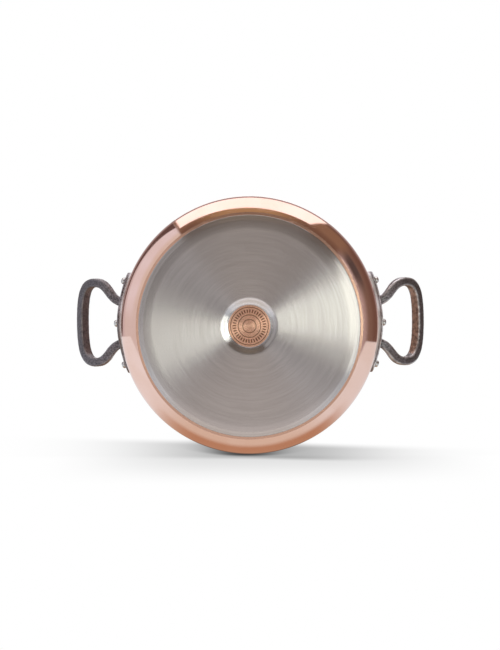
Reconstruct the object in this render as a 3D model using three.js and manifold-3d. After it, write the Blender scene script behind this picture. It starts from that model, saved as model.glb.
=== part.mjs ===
// Copper stewpot: a drawn copper body with a thin steel lining, a steel base disc
// and two cast loop handles, each held to the wall by three rivets.
// Millimetres, +Z up. The origin is the middle of the resting face, the handles lie along X.

import * as THREE from 'three';
import { mergeVertices } from 'three/addons/utils/BufferGeometryUtils.js';
import Module from 'manifold-3d';

const wasm = await Module();
wasm.setup();

// Body and lining
const BODY_DIAMETER = 204;
const BODY_HEIGHT = 110;
const COPPER_WALL = 1.7;
const LINING_WALL = 0.3;
const CORNER_RADIUS = 14.5;
const RIM_ROUND = 0.4;
const BOND_GAP = 0.1;

// Base disc: flat resting face, tapered edge in two bands, dished hole in the middle
const DISC_THICKNESS = 1.5;
const DISC_SETBACK = 0.3;
const DISC_TAPER_WIDTH = 7.4;
const DISC_TAPER_RISE = 0.4;
const DISC_EDGE_WIDTH = 3.8;
const DISC_EDGE_RISE = 1.0;
const DISH_DIAMETER = 44;
const WINDOW_DIAMETER = 33;
const WINDOW_LAND = 0.3;

// Handle plate: two ears and a lower tongue, one rivet in each
const PLATE_THICKNESS = 5.2;
const EAR_DROP = 35;
const EAR_SPACING = 68;
const EAR_RADIUS = 7;
const TONGUE_DROP = 10;
const TONGUE_RADIUS = 8;
const PLATE_CROWN = 9;
const SEAT_GAP = 0.3;

// Handle loop: a square bar with rounded edges that leaves the plate and bends upwards
const BAR_WIDTH = 7.2;
const ROOT_HEIGHT = 6.4;
const GRIP_HEIGHT = 9.2;
const BAR_ROUND = 1.8;
const ROOT_RISE = 2;
const ROOT_SPACING = 32;
const ROOT_SINK = 9;
const LOOP_WIDTH = 65;
const LOOP_REACH = 36;
const SHOULDER_REACH = 20;
const ROOT_TANGENT = 18;
const SHOULDER_TANGENT_IN = 15;
const SHOULDER_TANGENT_OUT = 11;
const GRIP_TANGENT = 21.5;
const ROOT_SLOPE = THREE.MathUtils.degToRad(9);
const GRIP_SLOPE = THREE.MathUtils.degToRad(53);

// Rivets: flat head on the lining, rounded head on the plate
const SHANK_DIAMETER = 4.4;
const SHANK_GAP = 0.1;
const OUTER_HEAD_DIAMETER = 5.6;
const OUTER_HEAD_HEIGHT = 2.6;
const INNER_HEAD_DIAMETER = 9;
const INNER_HEAD_HEIGHT = 1;
const HEAD_GAP = 0.1;

// Facets
const TURN_SEGMENTS = 60;
const RIVET_SEGMENTS = 12;
const CORNER_STEPS = 6;
const TAPER_STEPS = 3;
const DISH_STEPS = 4;
const RIM_STEPS = 2;
const DOME_STEPS = 3;
const BAR_STEPS = 40;
const BAR_ROUND_STEPS = 1;
const OUTLINE_STEPS = 5;

// Values that follow from the ones above
const wallRadius = BODY_DIAMETER / 2;
const copperInside = wallRadius - COPPER_WALL;
const liningOutside = copperInside - BOND_GAP;
const liningInside = liningOutside - LINING_WALL;
const cornerMiddle = wallRadius - CORNER_RADIUS;
const copperUnderside = DISC_THICKNESS + BOND_GAP;
const cornerHeight = copperUnderside + CORNER_RADIUS;
const plateInside = wallRadius + SEAT_GAP;
const plateOutside = plateInside + PLATE_THICKNESS;
const earHeight = BODY_HEIGHT - EAR_DROP;
const facetInset = 1 - Math.cos(Math.PI / TURN_SEGMENTS);

const materials = {
  copper: { color: 0xd08a66, metalness: 1, roughness: 0.18 },
  lining: { color: 0xc9c7c2, metalness: 1, roughness: 0.3 },
  disc: { color: 0xb4aea9, metalness: 1, roughness: 0.32 },
  casting: { color: 0x4a423f, metalness: 0.8, roughness: 0.5 },
  rivet: { color: 0xbdb8b0, metalness: 1, roughness: 0.35 },
};

function toSolid(geometry) {
  const bare = geometry.clone();
  bare.deleteAttribute('normal');
  bare.deleteAttribute('uv');
  const merged = mergeVertices(bare);
  const mesh = new wasm.Mesh({
    numProp: 3,
    vertProperties: new Float32Array(merged.attributes.position.array),
    triVerts: new Uint32Array(merged.index.array),
  });
  mesh.merge();
  return new wasm.Manifold(mesh);
}

function toGeometry(solid) {
  const mesh = solid.getMesh();
  const geometry = new THREE.BufferGeometry();
  geometry.setAttribute('position', new THREE.BufferAttribute(mesh.vertProperties, 3));
  geometry.setIndex(new THREE.BufferAttribute(mesh.triVerts, 1));
  geometry.computeVertexNormals();
  return geometry;
}

function cut(geometry, tools) {
  return toGeometry(tools.reduce((solid, tool) => solid.subtract(toSolid(tool)), toSolid(geometry)));
}

function named(name, geometry, finish) {
  const mesh = new THREE.Mesh(geometry, new THREE.MeshStandardMaterial(finish));
  mesh.name = name;
  return mesh;
}

// A solid of revolution about Z. The profile holds [radius, height] pairs, counter-clockwise.
function turned(profile, segments = TURN_SEGMENTS) {
  const points = profile.map(([radius, height]) => new THREE.Vector2(radius, height));
  return new THREE.LatheGeometry(points, segments).rotateX(Math.PI / 2);
}

function arc(radius, height, size, from, to, steps) {
  return Array.from({ length: steps + 1 }, (_, i) => {
    const angle = from + ((to - from) * i) / steps;
    return [radius + size * Math.cos(angle), height + size * Math.sin(angle)];
  });
}

// Cross-section of one bonded layer: outer face outwards and up, rim, inner face down and inwards
function layerProfile(outside, inside, rimRound) {
  const outerCorner = outside - cornerMiddle;
  const innerCorner = inside - cornerMiddle;
  return [
    [0, cornerHeight - outerCorner],
    ...arc(cornerMiddle, cornerHeight, outerCorner, -Math.PI / 2, 0, CORNER_STEPS),
    ...arc(outside - rimRound, BODY_HEIGHT - rimRound, rimRound, 0, Math.PI / 2, RIM_STEPS),
    [inside, BODY_HEIGHT],
    ...arc(cornerMiddle, cornerHeight, innerCorner, 0, -Math.PI / 2, CORNER_STEPS),
    [0, cornerHeight - innerCorner],
  ];
}

function discProfile() {
  const edge = cornerMiddle - DISC_SETBACK;
  const crease = edge - DISC_EDGE_WIDTH;
  const flat = crease - DISC_TAPER_WIDTH;
  const dish = DISH_DIAMETER / 2;
  const window = WINDOW_DIAMETER / 2;
  const taper = Array.from({ length: TAPER_STEPS + 1 }, (_, i) => {
    const share = i / TAPER_STEPS;
    return [flat + DISC_TAPER_WIDTH * share, DISC_TAPER_RISE * share ** 2];
  });
  const dished = Array.from({ length: DISH_STEPS + 1 }, (_, i) => {
    const share = i / DISH_STEPS;
    const wave = (1 + Math.cos(Math.PI * share)) / 2;
    return [window + (dish - window) * share, (DISC_THICKNESS - WINDOW_LAND) * wave];
  });
  return [
    ...dished,
    ...taper,
    [edge, DISC_EDGE_RISE],
    [edge, DISC_THICKNESS],
    [window, DISC_THICKNESS],
    dished[0],
  ];
}

// Rivet places on one handle: the angle round the wall and the height of each axis
const earAngle = Math.asin(EAR_SPACING / 2 / plateOutside);
const rivetPlaces = [
  { angle: earAngle, height: earHeight },
  { angle: 0, height: earHeight - TONGUE_DROP },
  { angle: -earAngle, height: earHeight },
];

// Puts something whose axis is Z on a rivet place, so that its axis points straight outwards
function place(object, { angle, height }) {
  object.rotation.set(0, Math.PI / 2, angle, 'ZYX');
  object.position.set(0, 0, height);
  object.updateMatrix();
  return object;
}

// The hole tool for one rivet place, as long as the wall and the plate need
function rivetHole(spot) {
  const radius = SHANK_DIAMETER / 2 + SHANK_GAP;
  const from = cornerMiddle;
  const to = plateOutside + CORNER_RADIUS;
  const hole = turned([[0, from], [radius, from], [radius, to], [0, to]], RIVET_SEGMENTS);
  return hole.applyMatrix4(place(new THREE.Object3D(), spot).matrix);
}

const holes = rivetPlaces.map(rivetHole);
const holesBothSides = [...holes, ...holes.map((hole) => hole.clone().rotateZ(Math.PI))];

// Profile of one rivet along its axis, from the flat head inside to the rounded head outside
function rivetProfile() {
  const shank = SHANK_DIAMETER / 2;
  const inner = INNER_HEAD_DIAMETER / 2;
  const outer = OUTER_HEAD_DIAMETER / 2;
  const sagitta = liningInside - Math.sqrt(liningInside ** 2 - inner ** 2);
  const innerSeat = liningInside * (1 - facetInset) - sagitta - HEAD_GAP;
  const outerSeat = plateOutside + HEAD_GAP;
  const dome = outer / 2;
  const shoulder = outerSeat + OUTER_HEAD_HEIGHT - dome;
  return [
    [0, innerSeat - INNER_HEAD_HEIGHT],
    [inner - INNER_HEAD_HEIGHT / 2, innerSeat - INNER_HEAD_HEIGHT],
    [inner, innerSeat - INNER_HEAD_HEIGHT / 2],
    [inner, innerSeat],
    [shank, innerSeat],
    [shank, outerSeat],
    [outer, outerSeat],
    ...arc(outer - dome, shoulder, dome, 0, Math.PI / 2, DOME_STEPS),
    [0, shoulder + dome],
  ];
}

// Plate outline as seen from outside: across the wall and up it, measured from the ear rivets' line
function plateOutline() {
  const ear = EAR_SPACING / 2;
  const bottom = -TONGUE_DROP - TONGUE_RADIUS;
  const waist = ear - EAR_RADIUS;
  const outline = new THREE.Shape();
  outline.moveTo(0, bottom);
  outline.bezierCurveTo(TONGUE_RADIUS * 2, bottom, waist / 2, -EAR_RADIUS, ear, -EAR_RADIUS);
  outline.absarc(ear, 0, EAR_RADIUS, -Math.PI / 2, Math.PI / 2, false);
  outline.bezierCurveTo(waist, EAR_RADIUS, ROOT_SPACING / 2, PLATE_CROWN, 0, PLATE_CROWN);
  outline.bezierCurveTo(-ROOT_SPACING / 2, PLATE_CROWN, -waist, EAR_RADIUS, -ear, EAR_RADIUS);
  outline.absarc(-ear, 0, EAR_RADIUS, Math.PI / 2, (Math.PI * 3) / 2, false);
  outline.bezierCurveTo(-waist / 2, -EAR_RADIUS, -TONGUE_RADIUS * 2, bottom, 0, bottom);
  return outline;
}

// The plate is the part of a ring round the wall that lies behind its outline
function plateSolid() {
  const low = earHeight - TONGUE_DROP - TONGUE_RADIUS * 2;
  const high = earHeight + PLATE_CROWN * 2;
  const ring = turned([
    [plateInside, low],
    [plateOutside, low],
    [plateOutside, high],
    [plateInside, high],
    [plateInside, low],
  ]);
  const options = { depth: plateOutside, bevelEnabled: false, curveSegments: OUTLINE_STEPS };
  const prism = new THREE.ExtrudeGeometry(plateOutline(), options);
  prism.rotateX(Math.PI / 2).rotateZ(Math.PI / 2).translate(0, 0, earHeight);
  return toSolid(ring).intersect(toSolid(prism));
}

function barSection() {
  const across = BAR_WIDTH / 2 - BAR_ROUND;
  const up = GRIP_HEIGHT / 2 - BAR_ROUND;
  const section = new THREE.Shape();
  section.absarc(up, across, BAR_ROUND, 0, Math.PI / 2, false);
  section.absarc(-up, across, BAR_ROUND, Math.PI / 2, Math.PI, false);
  section.absarc(-up, -across, BAR_ROUND, Math.PI, (Math.PI * 3) / 2, false);
  section.absarc(up, -across, BAR_ROUND, (Math.PI * 3) / 2, Math.PI * 2, false);
  return section;
}

// Middle line of the bar laid flat: X across the handle, Y away from the plate
function barPath() {
  const root = ROOT_SPACING / 2;
  const side = LOOP_WIDTH / 2;
  const at = (x, y) => new THREE.Vector3(x, y, 0);
  const leg = (sign) => [
    at(sign * root, -ROOT_SINK),
    at(sign * root, ROOT_TANGENT - ROOT_SINK),
    at(sign * side, SHOULDER_REACH - SHOULDER_TANGENT_IN),
    at(sign * side, SHOULDER_REACH),
  ];
  const grip = (sign) => [
    at(sign * side, SHOULDER_REACH),
    at(sign * side, SHOULDER_REACH + SHOULDER_TANGENT_OUT),
    at(sign * GRIP_TANGENT, LOOP_REACH),
    at(0, LOOP_REACH),
  ];
  const path = new THREE.CurvePath();
  path.add(new THREE.CubicBezierCurve3(...leg(1)));
  path.add(new THREE.CubicBezierCurve3(...grip(1)));
  path.add(new THREE.CubicBezierCurve3(...grip(-1).reverse()));
  path.add(new THREE.CubicBezierCurve3(...leg(-1).reverse()));
  return path;
}

// The bar, thinned towards its root and bent upwards from the slope there to the slope at its grip
function loopSolid() {
  const options = { steps: BAR_STEPS, curveSegments: BAR_ROUND_STEPS, extrudePath: barPath() };
  const bar = new THREE.ExtrudeGeometry(barSection(), options);
  const bend = LOOP_REACH / (GRIP_SLOPE - ROOT_SLOPE);
  const spots = bar.attributes.position;
  for (let i = 0; i < spots.count; i += 1) {
    const slope = ROOT_SLOPE + spots.getY(i) / bend;
    const reach = THREE.MathUtils.clamp(spots.getY(i) / LOOP_REACH, 0, 1);
    const lift = bend - (spots.getZ(i) * THREE.MathUtils.lerp(ROOT_HEIGHT, GRIP_HEIGHT, reach)) / GRIP_HEIGHT;
    const x = plateOutside + lift * Math.sin(slope) - bend * Math.sin(ROOT_SLOPE);
    const z = earHeight + ROOT_RISE - lift * Math.cos(slope) + bend * Math.cos(ROOT_SLOPE);
    spots.setXYZ(i, x, -spots.getX(i), z);
  }
  const wall = turned([[0, 0], [plateInside, 0], [plateInside, BODY_HEIGHT], [0, BODY_HEIGHT]]);
  return toSolid(bar).subtract(toSolid(wall));
}

const handleGeometry = cut(toGeometry(plateSolid().add(loopSolid())), holes);
const rivetGeometry = turned(rivetProfile(), RIVET_SEGMENTS);

// One handle with its three rivets, on the side that the turn gives
function handleGroup(side, turn) {
  const group = new THREE.Group();
  group.name = `handle_group_${side}`;
  group.add(named(`handle_${side}`, handleGeometry, materials.casting));
  rivetPlaces.forEach((spot, i) => {
    group.add(place(named(`rivet_${side}_${i + 1}`, rivetGeometry, materials.rivet), spot));
  });
  group.rotation.z = turn;
  return group;
}

const bodyGeometry = turned(layerProfile(wallRadius, copperInside, RIM_ROUND));
const liningGeometry = turned(layerProfile(liningOutside, liningInside, LINING_WALL / 2));

const pot = new THREE.Group();
pot.name = 'copper_stewpot';
pot.add(named('copper_body', cut(bodyGeometry, holesBothSides), materials.copper));
pot.add(named('steel_lining', cut(liningGeometry, holesBothSides), materials.lining));
pot.add(named('base_disc', turned(discProfile()), materials.disc));
pot.add(handleGroup('right', 0));
pot.add(handleGroup('left', Math.PI));

export default pot;
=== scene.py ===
import math

import bpy
import numpy as np
from mathutils import Matrix, Vector, noise


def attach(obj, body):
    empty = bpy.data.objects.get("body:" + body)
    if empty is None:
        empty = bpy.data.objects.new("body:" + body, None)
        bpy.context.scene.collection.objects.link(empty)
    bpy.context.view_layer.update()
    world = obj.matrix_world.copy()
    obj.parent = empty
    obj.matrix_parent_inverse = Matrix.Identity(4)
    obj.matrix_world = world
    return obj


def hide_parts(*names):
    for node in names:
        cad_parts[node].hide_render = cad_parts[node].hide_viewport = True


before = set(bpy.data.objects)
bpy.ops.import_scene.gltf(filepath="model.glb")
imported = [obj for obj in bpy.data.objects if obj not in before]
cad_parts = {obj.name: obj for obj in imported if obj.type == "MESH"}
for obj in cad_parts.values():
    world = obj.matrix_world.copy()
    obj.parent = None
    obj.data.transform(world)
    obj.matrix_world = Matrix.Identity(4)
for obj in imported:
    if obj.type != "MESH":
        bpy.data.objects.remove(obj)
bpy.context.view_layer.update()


# Copper body
# One round of thick copper sheet, spun or drawn to a flat base, a rounded corner and a straight
# wall, and polished outside. A spot in the middle of its base is etched dull and engraved.

BODY_RADIUS = 0.102
BODY_HEIGHT = 0.110
BODY_UNDERSIDE = 0.0016
BODY_SHEET = 0.0017
BODY_FLAT = 0.0868
BODY_STRIP = 0.0024
STRIP_SLOPE = math.radians(0.5)
CORNER_SLOPE = math.radians(13.5)
BODY_CORNER = 0.0165
INNER_CORNER = 0.0128
RIM_ROUND = 0.0004
SHEET_SUPPORT = 0.0015
WALL_START = 1.25
SPIN_STEPS = 256
CORNER_STEPS = 28
RIM_STEPS = 4
WELD = 1e-6
CREASE_MATCH = 0.00004


def feed(tree, value, socket):
    if isinstance(value, bpy.types.NodeSocket):
        tree.links.new(value, socket)
    else:
        socket.default_value = value


def put(tree, kind, inputs=None, **settings):
    node = tree.nodes.new(kind)
    for key, value in settings.items():
        setattr(node, key, value)
    for key, value in (inputs or {}).items():
        feed(tree, value, node.inputs[key])
    return node


def calc(tree, operation, *values):
    return put(tree, "ShaderNodeMath", dict(enumerate(values)), operation=operation).outputs[0]


def vectors(tree, operation, *values):
    return put(tree, "ShaderNodeVectorMath", dict(enumerate(values)), operation=operation).outputs[0]


def axes_of(tree, vector):
    return put(tree, "ShaderNodeSeparateXYZ", {0: vector}).outputs


def radius_of(tree, axes):
    squares = [calc(tree, "POWER", axis, 2.0) for axis in axes[:2]]
    return calc(tree, "SQRT", calc(tree, "ADD", *squares))


def new_tree(name, kind, inputs, outputs):
    tree = bpy.data.node_groups.new(name, kind)
    for label, socket, value in inputs:
        made = tree.interface.new_socket(label, in_out="INPUT", socket_type=socket)
        if value is not None:
            made.default_value = value
    for label, socket in outputs:
        tree.interface.new_socket(label, in_out="OUTPUT", socket_type=socket)
    return tree, tree.nodes.new("NodeGroupInput").outputs, tree.nodes.new("NodeGroupOutput").inputs


def spin_tree():
    tree, given, result = new_tree(
        "spin_profile", "GeometryNodeTree",
        [("Profile", "NodeSocketGeometry", None), ("Segments", "NodeSocketInt", SPIN_STEPS)],
        [("Mesh", "NodeSocketGeometry")])
    size = put(tree, "GeometryNodeAttributeDomainSize", {0: given["Profile"]}, component="CURVE")
    count = size.outputs["Point Count"]
    grid = put(tree, "GeometryNodeMeshGrid", {
        "Vertices X": calc(tree, "ADD", given["Segments"], 1.0), "Vertices Y": count})
    index = put(tree, "GeometryNodeInputIndex").outputs[0]
    turn = calc(tree, "FLOOR", calc(tree, "DIVIDE", index, count))
    angle = calc(tree, "DIVIDE", calc(tree, "MULTIPLY", turn, math.tau), given["Segments"])
    point = put(tree, "GeometryNodeSampleIndex", {
        "Geometry": given["Profile"],
        "Value": put(tree, "GeometryNodeInputPosition").outputs[0],
        "Index": calc(tree, "MODULO", index, count)}, data_type="FLOAT_VECTOR", domain="POINT")
    spot = axes_of(tree, point.outputs[0])
    place = put(tree, "ShaderNodeCombineXYZ", {
        0: calc(tree, "MULTIPLY", spot[0], calc(tree, "COSINE", angle)),
        1: calc(tree, "MULTIPLY", spot[0], calc(tree, "SINE", angle)),
        2: spot[2]})
    moved = put(tree, "GeometryNodeSetPosition", {
        "Geometry": grid.outputs["Mesh"], "Position": place.outputs[0]})
    joined = put(tree, "GeometryNodeMergeByDistance", {
        "Geometry": moved.outputs[0], "Distance": WELD})
    smooth = put(tree, "GeometryNodeSetShadeSmooth", {0: joined.outputs[0]})
    tree.links.new(smooth.outputs[0], result["Mesh"])
    return tree


def profile_curve(tree, points, rounds, steps):
    spots = put(tree, "GeometryNodeIndexSwitch", data_type="VECTOR")
    radii = put(tree, "GeometryNodeIndexSwitch", data_type="FLOAT")
    index = put(tree, "GeometryNodeInputIndex").outputs[0]
    for switch in (spots, radii):
        for _ in range(len(points) - 2):
            switch.index_switch_items.new()
        tree.links.new(index, switch.inputs[0])
    for i, (radius, height) in enumerate(points):
        place = put(tree, "ShaderNodeCombineXYZ", {0: radius, 2: height})
        tree.links.new(place.outputs[0], spots.inputs[i + 1])
    for i, radius in rounds.items():
        feed(tree, radius, radii.inputs[i + 1])
    line = put(tree, "GeometryNodeMeshLine", {"Count": len(points)})
    shaped = put(tree, "GeometryNodeSetPosition", {
        "Geometry": line.outputs[0], "Position": spots.outputs[0]})
    curve = put(tree, "GeometryNodeMeshToCurve", {0: shaped.outputs[0]})
    return put(tree, "GeometryNodeFilletCurve", {
        "Curve": curve.outputs[0], "Count": steps, "Radius": radii.outputs[0]},
        mode="POLY").outputs[0]


def end_tree(tree, geometry, finish, result):
    real = put(tree, "GeometryNodeRealizeInstances", {0: geometry})
    dressed = put(tree, "GeometryNodeSetMaterial", {"Geometry": real.outputs[0], "Material": finish})
    tree.links.new(dressed.outputs[0], result)


def spun_sheet_tree(spin):
    tree, given, result = new_tree(
        "spun_sheet", "GeometryNodeTree",
        [("Outside Radius", "NodeSocketFloat", BODY_RADIUS),
         ("Sheet", "NodeSocketFloat", BODY_SHEET),
         ("Underside", "NodeSocketFloat", BODY_UNDERSIDE),
         ("Flat Radius", "NodeSocketFloat", BODY_FLAT),
         ("Strip Width", "NodeSocketFloat", BODY_STRIP),
         ("Strip Slope", "NodeSocketFloat", STRIP_SLOPE),
         ("Corner Slope", "NodeSocketFloat", CORNER_SLOPE),
         ("Corner Radius", "NodeSocketFloat", BODY_CORNER),
         ("Inner Corner", "NodeSocketFloat", INNER_CORNER),
         ("Rim Height", "NodeSocketFloat", BODY_HEIGHT),
         ("Rim Round", "NodeSocketFloat", RIM_ROUND),
         ("Support", "NodeSocketFloat", SHEET_SUPPORT),
         ("Segments", "NodeSocketInt", SPIN_STEPS),
         ("Finish", "NodeSocketMaterial", None)],
        [("Mesh", "NodeSocketGeometry")])
    outside, sheet, under = given["Outside Radius"], given["Sheet"], given["Underside"]
    corner, rim, support = given["Corner Radius"], given["Rim Height"], given["Support"]
    flat, strip = given["Flat Radius"], given["Strip Width"]
    inside = calc(tree, "SUBTRACT", outside, sheet)
    floor = calc(tree, "ADD", under, sheet)
    crease = calc(tree, "ADD", flat, strip)
    crease_up = calc(tree, "MULTIPLY_ADD", strip, calc(tree, "TANGENT", given["Strip Slope"]), under)
    climb = calc(tree, "MULTIPLY", calc(tree, "SUBTRACT", outside, crease),
                 calc(tree, "TANGENT", given["Corner Slope"]))
    wall = calc(tree, "MULTIPLY_ADD", corner, WALL_START, calc(tree, "ADD", under, support))
    lip = calc(tree, "SUBTRACT", rim, support)
    points = [
        (0.0, under), (calc(tree, "SUBTRACT", flat, support), under), (flat, under),
        (crease, crease_up), (outside, calc(tree, "ADD", crease_up, climb)), (outside, wall),
        (outside, lip), (outside, rim), (inside, rim), (inside, lip), (inside, wall), (inside, floor),
        (calc(tree, "SUBTRACT", flat, support), floor), (0.0, floor)]
    outer_corner, rim_edges, inner_corner = 4, (7, 8), 11
    index = put(tree, "GeometryNodeInputIndex").outputs[0]
    at_rim = calc(tree, "COMPARE", index, sum(rim_edges) / 2, 0.6)
    steps = calc(tree, "MULTIPLY_ADD", at_rim, RIM_STEPS - CORNER_STEPS, CORNER_STEPS)
    rounds = {outer_corner: corner, inner_corner: given["Inner Corner"]}
    rounds.update((i, given["Rim Round"]) for i in rim_edges)
    profile = profile_curve(tree, points, rounds, steps)
    spun = put(tree, "GeometryNodeGroup", {
        "Profile": profile, "Segments": given["Segments"]}, node_tree=spin)
    spot = axes_of(tree, put(tree, "GeometryNodeInputPosition").outputs[0])
    on_crease = calc(tree, "COMPARE", radius_of(tree, spot), crease, CREASE_MATCH)
    at_crease = calc(tree, "MULTIPLY", on_crease, calc(tree, "LESS_THAN", spot[2], floor))
    sharp = put(tree, "GeometryNodeSetShadeSmooth", {
        "Geometry": spun.outputs[0], "Selection": at_crease, "Shade Smooth": False}, domain="EDGE")
    end_tree(tree, sharp.outputs[0], given["Finish"], result["Mesh"])
    return tree


def place_mesh(name, mesh):
    piece = bpy.data.objects.new(name, mesh)
    bpy.context.scene.collection.objects.link(piece)
    return piece


def made_mesh(name, holder):
    ready = holder.evaluated_get(bpy.context.evaluated_depsgraph_get())
    mesh = bpy.data.meshes.new_from_object(ready)
    mesh.name = name
    bpy.data.objects.remove(holder)
    return mesh


def from_tree(name, tree, values):
    holder = place_mesh(name + "_making", bpy.data.meshes.new(name + "_making"))
    modifier = holder.modifiers.new(name, "NODES")
    modifier.node_group = tree
    sockets = [item for item in tree.interface.items_tree if item.in_out == "INPUT"]
    names = {item.name: item.identifier for item in sockets}
    for label, value in values.items():
        modifier[names[label]] = value
    return place_mesh(name, made_mesh(name, holder))


def new_material(name, **values):
    material = bpy.data.materials.new(name)
    material.use_nodes = True
    shader = material.node_tree.nodes["Principled BSDF"]
    for key, value in values.items():
        shader.inputs[key.replace("_", " ")].default_value = value
    return material, material.node_tree, shader.inputs


def ramp(tree, value, low, high, start=0.0, end=1.0):
    return put(tree, "ShaderNodeMapRange", {
        "Value": value, "From Min": low, "From Max": high, "To Min": start, "To Max": end},
        interpolation_type="SMOOTHSTEP").outputs[0]


def tint(tree, share, first, second):
    node = put(tree, "ShaderNodeMix", {0: share}, data_type="RGBA")
    for slot, colour in ((6, first), (7, second)):
        feed(tree, (*colour, 1.0) if isinstance(colour, tuple) else colour, node.inputs[slot])
    return node.outputs[2]


def mottle(tree, where, scale, detail, **more):
    return put(tree, "ShaderNodeTexNoise", {
        "Vector": where, "Scale": scale, "Detail": detail, **more}).outputs[0]


def emboss(tree, shader, height, depth, strength=1.0):
    bump = put(tree, "ShaderNodeBump", {"Strength": strength, "Distance": depth, "Height": height})
    tree.links.new(bump.outputs[0], shader["Normal"])


def place_on(tree):
    return put(tree, "ShaderNodeTexCoord").outputs["Object"]


def turned_lines_group():
    tree, given, result = new_tree(
        "turned_lines", "ShaderNodeTree",
        [("Vector", "NodeSocketVector", None), ("Lines per Metre", "NodeSocketFloat", 2000.0)],
        [("Lines", "NodeSocketFloat"), ("Radius", "NodeSocketFloat"), ("Height", "NodeSocketFloat")])
    spot = axes_of(tree, given["Vector"])
    radius = radius_of(tree, spot)
    along = calc(tree, "MULTIPLY", calc(tree, "ADD", radius, spot[2]), given["Lines per Metre"])
    lines = put(tree, "ShaderNodeTexNoise", {
        "W": along, "Scale": 1.0, "Detail": 3.0, "Roughness": 0.6}, noise_dimensions="1D")
    tree.links.new(lines.outputs[0], result["Lines"])
    tree.links.new(radius, result["Radius"])
    tree.links.new(spot[2], result["Height"])
    return tree


SCRATCH_LAYS = ((0.5, 22.0), (1.9, 30.0), (2.7, 17.0))


def handling_group():
    tree, given, result = new_tree(
        "handling_marks", "ShaderNodeTree",
        [("Vector", "NodeSocketVector", None), ("Smudge Scale", "NodeSocketFloat", 30.0),
         ("Scratch Scale", "NodeSocketFloat", 90.0)],
        [("Smudges", "NodeSocketFloat"), ("Scratches", "NodeSocketFloat")])
    smudge = mottle(tree, given["Vector"], given["Smudge Scale"], 4.0, Distortion=0.6)
    tree.links.new(ramp(tree, smudge, 0.35, 0.7), result["Smudges"])
    marks = None
    for turn, stretch in SCRATCH_LAYS:
        lay = put(tree, "ShaderNodeMapping", {
            "Vector": given["Vector"], "Rotation": (0.3 * turn, 0.7 * turn, turn),
            "Scale": (1.0, stretch, stretch)})
        streak = mottle(tree, lay.outputs[0], given["Scratch Scale"], 1.0)
        mark = ramp(tree, streak, 0.68, 0.74)
        marks = mark if marks is None else calc(tree, "MAXIMUM", marks, mark)
    tree.links.new(marks, result["Scratches"])
    return tree


def use_group(tree, group, **inputs):
    named = {key.replace("_", " "): value for key, value in inputs.items()}
    return put(tree, "ShaderNodeGroup", named, node_tree=group).outputs


def across_the_lines(tree, where):
    around = vectors(tree, "CROSS_PRODUCT", (0.0, 0.0, 1.0), where)
    lie = put(tree, "ShaderNodeNewGeometry").outputs["Normal"]
    return vectors(tree, "NORMALIZE", vectors(tree, "CROSS_PRODUCT", around, lie))


UNDERSIDE_TOP = 0.003
STRIP_SOFT = 0.0001
SPOT_RADIUS = 0.0166
RINGS = (0.0148, 0.0088, 0.0052)
RING_HALF = 0.00026
TICKS = 36.0
TICK_SHARE = 0.42
TICK_RADIUS = 0.0118
TICK_HALF = 0.0013
COPPER_CLEAN = (0.95, 0.66, 0.56)
COPPER_TOUCHED = (0.92, 0.62, 0.51)
COPPER_STRIP_SHADED = (0.91, 0.565, 0.425)
ETCHED_DARK = (0.56, 0.30, 0.20)
ETCHED_LIGHT = (0.86, 0.53, 0.385)
ENGRAVED = (0.15, 0.055, 0.03)
POLISH_ROUGH = 0.055
STRIP_ROUGH = 0.105
SPOT_ROUGH = 0.29
POLISH_DEPTH = 6e-7
ETCH_LINES = 60.0
ETCH_GRAIN = 35.0
ENGRAVE_DEPTH = 60.0


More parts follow.
